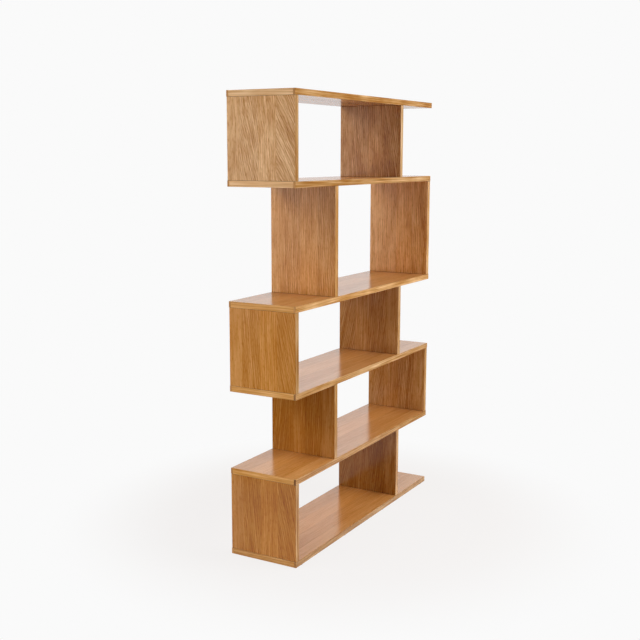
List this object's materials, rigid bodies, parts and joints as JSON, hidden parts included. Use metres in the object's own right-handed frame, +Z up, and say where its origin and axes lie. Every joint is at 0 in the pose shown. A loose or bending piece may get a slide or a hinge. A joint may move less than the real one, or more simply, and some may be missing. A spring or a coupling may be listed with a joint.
{
  "type": "zigzag bookshelf",
  "caption": "Open free-standing oak bookshelf: full-width boards on uprights that stand in turn at the end and set in, so that the tiers zigzag.",
  "frame": {"origin": "on the floor, at the middle of the footprint", "axes": "+X along the boards to the right as seen from the front, +Y from front to rear, +Z up"},
  "size_m": [1.29, 0.318, 1.923],
  "materials": {
    "oak_veneer": "straight-grained oak veneer under satin lacquer",
    "oak_lipping": "solid oak, eased arrises, satin lacquer",
    "birch_plywood": "sawn birch plywood, glued in",
    "glide_plastic": "dark moulded plastic"
  },
  "bodies": {
    "root": {"floor_glides": "glide_plastic", "shelf_1_end_lippings": "oak_lipping", "shelf_1_front_lipping": "oak_lipping", "shelf_1_panel": "oak_veneer", "shelf_1_rear_lipping": "oak_lipping", "shelf_2_end_lippings": "oak_lipping", "shelf_2_front_lipping": "oak_lipping", "shelf_2_panel": "oak_veneer", "shelf_2_rear_lipping": "oak_lipping", "shelf_3_end_lippings": "oak_lipping", "shelf_3_front_lipping": "oak_lipping", "shelf_3_panel": "oak_veneer", "shelf_3_rear_lipping": "oak_lipping", "shelf_4_end_lippings": "oak_lipping", "shelf_4_front_lipping": "oak_lipping", "shelf_4_panel": "oak_veneer", "shelf_4_rear_lipping": "oak_lipping", "shelf_5_end_lippings": "oak_lipping", "shelf_5_front_lipping": "oak_lipping", "shelf_5_panel": "oak_veneer", "shelf_5_rear_lipping": "oak_lipping", "shelf_6_end_lippings": "oak_lipping", "shelf_6_front_lipping": "oak_lipping", "shelf_6_panel": "oak_veneer", "shelf_6_rear_lipping": "oak_lipping", "tier_1_left_upright_lippings": "oak_lipping", "tier_1_left_upright_panel": "oak_veneer", "tier_1_right_upright_lippings": "oak_lipping", "tier_1_right_upright_panel": "oak_veneer", "tier_2_left_upright_lippings": "oak_lipping", "tier_2_left_upright_panel": "oak_veneer", "tier_2_right_upright_lippings": "oak_lipping", "tier_2_right_upright_panel": "oak_veneer", "tier_3_left_upright_lippings": "oak_lipping", "tier_3_left_upright_panel": "oak_veneer", "tier_3_right_upright_lippings": "oak_lipping", "tier_3_right_upright_panel": "oak_veneer", "tier_4_left_upright_lippings": "oak_lipping", "tier_4_left_upright_panel": "oak_veneer", "tier_4_right_upright_lippings": "oak_lipping", "tier_4_right_upright_panel": "oak_veneer", "tier_5_left_upright_lippings": "oak_lipping", "tier_5_left_upright_panel": "oak_veneer", "tier_5_right_upright_lippings": "oak_lipping", "tier_5_right_upright_panel": "oak_veneer", "tongues": "birch_plywood"}
  },
  "joints": []
}
